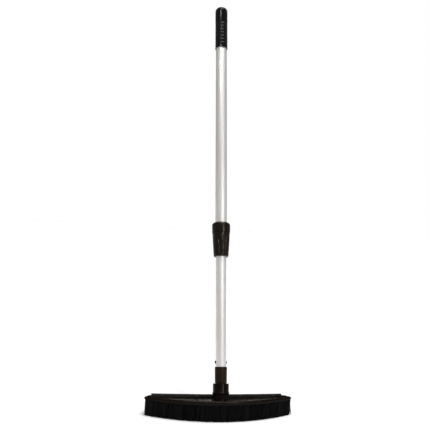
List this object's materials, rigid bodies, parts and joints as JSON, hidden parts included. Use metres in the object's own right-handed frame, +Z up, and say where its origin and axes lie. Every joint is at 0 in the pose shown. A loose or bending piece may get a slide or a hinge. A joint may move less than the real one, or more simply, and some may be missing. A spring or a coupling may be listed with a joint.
{
  "type": "push broom",
  "caption": "Push broom with a crescent head of dense trimmed bristles, a rear squeegee lip, and a telescopic twist-lock aluminium pole with a ribbed grip.",
  "frame": {"origin": "where the pole's axis meets the plane of the trimmed bristle tips, on the head's centre line", "axes": "+X along the head to its right end, +Y back, the way the pole leans, +Z up from the floor"},
  "size_m": [0.3032, 0.3173, 0.8879],
  "materials": {
    "head_plastic": "satin moulded brown-black plastic",
    "lock_plastic": "satin moulded olive-black plastic",
    "ferrule_plastic": "matt moulded dark brown plastic",
    "grip_plastic": "satin black soft-touch plastic",
    "inner_plastic": "plain natural nylon",
    "bristle": "matt black filament, flat trimmed",
    "blade_rubber": "matt black rubber",
    "aluminium": "satin anodised drawn tube",
    "steel": "darkened zinc"
  },
  "bodies": {
    "head_and_lower_pole": {"head_block": "head_plastic", "bristle_row_1": "bristle", "bristle_row_2": "bristle", "bristle_row_3": "bristle", "bristle_row_4": "bristle", "bristle_row_5": "bristle", "squeegee_blade": "blade_rubber", "squeegee_clamp": "head_plastic", "clamp_screw_1": "steel", "clamp_screw_2": "steel", "clamp_screw_3": "steel", "clamp_screw_4": "steel", "pole_ferrule": "ferrule_plastic", "ferrule_rivet": "steel", "lower_tube": "aluminium", "guide_plug": "inner_plastic"},
    "upper_pole": {"upper_tube": "aluminium", "hand_grip": "grip_plastic", "collet_body": "lock_plastic"},
    "clamp_ring": {"clamp_ring": "inner_plastic"},
    "lock_nut": {"lock_nut": "lock_plastic"}
  },
  "joints": [
    {"name": "telescope_slide", "type": "slide", "parent": "head_and_lower_pole", "child": "upper_pole", "axis": [0, 0.309, 0.9511], "range_m": [-0.2, 0.28]},
    {"name": "clamp_ring_slide", "type": "slide", "parent": "upper_pole", "child": "clamp_ring", "axis": [0, 0.309, 0.9511], "range_m": [-0.002, 0]},
    {"name": "nut_turn", "type": "hinge", "parent": "clamp_ring", "child": "lock_nut", "pos_m": [0, 0.10816, 0.33287], "axis": [0, 0.309, 0.9511], "range_deg": [0, 180]}
  ],
  "couplings": [
    {"joint": "clamp_ring_slide", "follows": "nut_turn", "m_per_rad": -0.000636}
  ]
}
